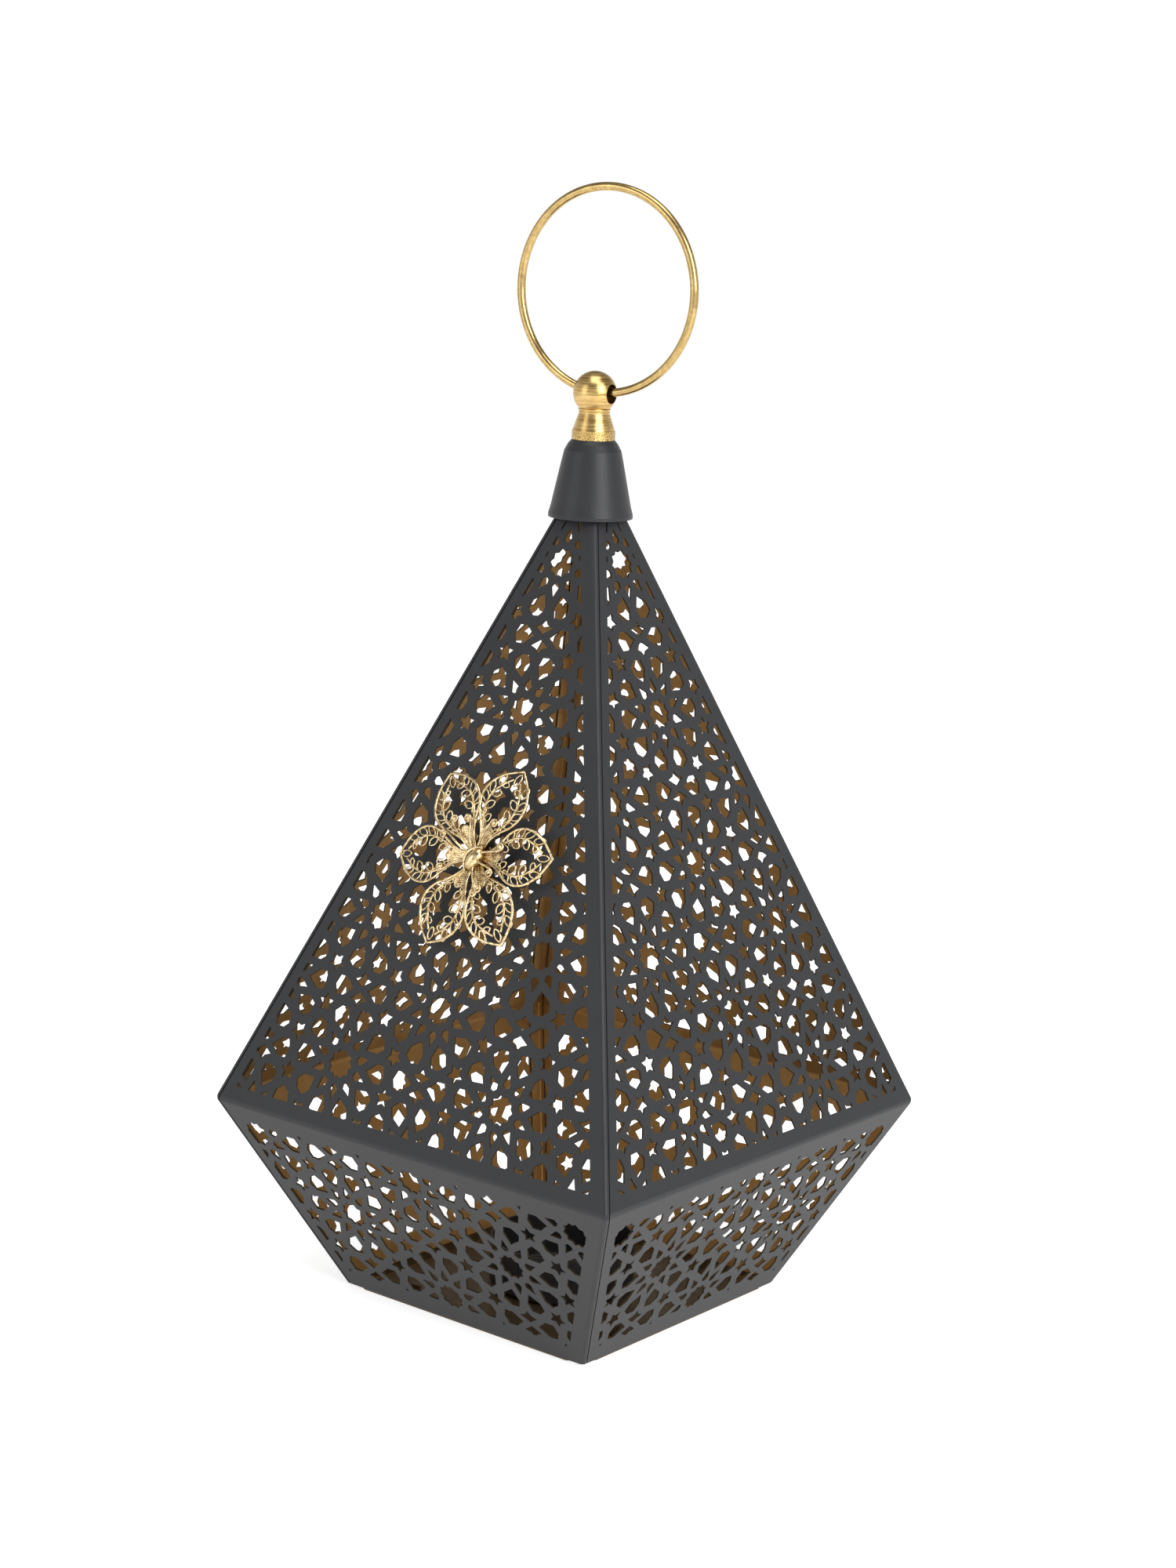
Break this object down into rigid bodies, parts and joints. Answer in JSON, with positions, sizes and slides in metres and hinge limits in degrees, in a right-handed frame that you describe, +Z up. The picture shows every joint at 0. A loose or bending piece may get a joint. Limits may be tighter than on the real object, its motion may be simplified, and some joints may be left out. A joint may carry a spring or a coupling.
{
  "type": "candle lantern",
  "caption": "Tall pierced sheet-metal candle lantern: a steep pyramid over a short tapered base, with a filigree flower, a turned finial and a hanging ring.",
  "frame": {"origin": "centre of the base plate's underside, where the lantern stands", "axes": "+Z up, along the lantern's height; -Y towards the panel that carries the flower; +X towards the panel on its right"},
  "size_m": [0.1696, 0.1696, 0.3749],
  "materials": {
    "charcoal_paint": "matte charcoal powder coat outside, gold paint inside",
    "gold_paint": "satin gold paint",
    "black_paint": "semi-matte black paint",
    "brass": "satin yellow brass",
    "pale_brass": "pale gold plate",
    "zinc_steel": "bright zinc plate"
  },
  "bodies": {
    "base": {"base_plate": "gold_paint", "candle_cup": "black_paint"},
    "lantern_body": {"side_panel_front": "charcoal_paint", "side_panel_right": "charcoal_paint", "side_panel_back": "charcoal_paint", "side_panel_left": "charcoal_paint", "cap": "charcoal_paint", "finial_collar": "brass", "finial": "brass", "finial_stud": "zinc_steel", "clamp_plate": "zinc_steel", "clamp_nut": "zinc_steel", "flower_petals": "pale_brass", "flower_stamens": "pale_brass", "flower_spacer": "pale_brass", "flower_rivet": "pale_brass", "flower_washer": "zinc_steel"},
    "ring_handle": {"ring_handle": "brass"}
  },
  "joints": [
    {"name": "lift_off", "type": "slide", "parent": "base", "child": "lantern_body", "axis": [0, 0, 1], "range_m": [0, 0.12]},
    {"name": "ring_swing", "type": "hinge", "parent": "lantern_body", "child": "ring_handle", "pos_m": [0, 0, 0.3072], "axis": [0.9932, 0.1167, 0], "range_deg": [-161, 161]}
  ]
}
